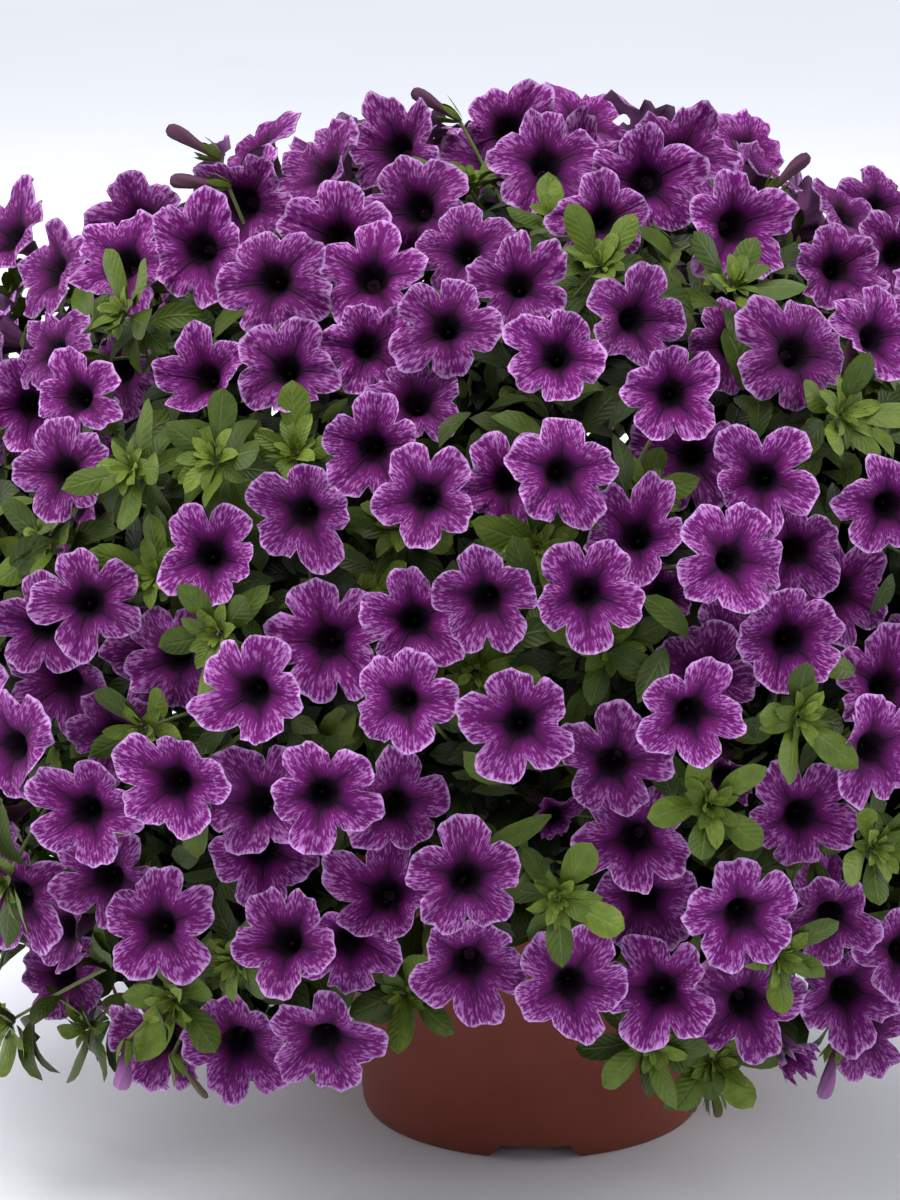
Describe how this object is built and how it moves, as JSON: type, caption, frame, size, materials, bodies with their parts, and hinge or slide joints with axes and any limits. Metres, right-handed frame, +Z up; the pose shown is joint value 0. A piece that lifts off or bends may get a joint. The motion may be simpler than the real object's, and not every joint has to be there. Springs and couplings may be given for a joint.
{
  "type": "potted trailing petunia in full bloom",
  "caption": "Trailing petunia in full bloom: a broad mound of veined purple funnel flowers and leafy stems that spills over a tapered terracotta-brown plastic pot standing on its foot.",
  "frame": {"origin": "centre of the pot's foot, on the surface that it stands on", "axes": "+Z up, along the pot's axis; -Y is the front, which the camera faces; +X is to the right seen from the front"},
  "size_m": [0.6568, 0.6434, 0.5003],
  "materials": {
    "terracotta_plastic": "matte, faintly mottled",
    "potting_soil": "rough, crumbly",
    "petals": "velvety, dark veins on purple",
    "leaves": "matte, finely hairy",
    "stems": "matte, finely hairy"
  },
  "bodies": {
    "root": {"pot": "terracotta_plastic", "potting_soil": "potting_soil", "flowering_stem_01": "petals", "flowering_stem_02": "petals", "flowering_stem_03": "petals", "flowering_stem_04": "petals", "flowering_stem_05": "petals", "flowering_stem_06": "petals", "flowering_stem_07": "petals", "flowering_stem_08": "petals", "flowering_stem_09": "petals", "flowering_stem_10": "petals", "flowering_stem_11": "petals", "flowering_stem_12": "petals", "flowering_stem_13": "petals", "flowering_stem_14": "petals", "flowering_stem_15": "petals", "flowering_stem_16": "petals", "flowering_stem_17": "petals", "flowering_stem_18": "petals", "flowering_stem_19": "petals", "flowering_stem_20": "petals", "flowering_stem_21": "petals", "flowering_stem_22": "petals", "flowering_stem_23": "petals", "flowering_stem_24": "petals", "flowering_stem_25": "petals", "flowering_stem_26": "petals", "flowering_stem_27": "petals", "flowering_stem_28": "petals", "flowering_stem_29": "petals", "flowering_stem_30": "petals", "flowering_stem_31": "petals", "flowering_stem_32": "petals", "flowering_stem_33": "petals", "flowering_stem_34": "petals", "flowering_stem_35": "petals"}
  },
  "joints": []
}
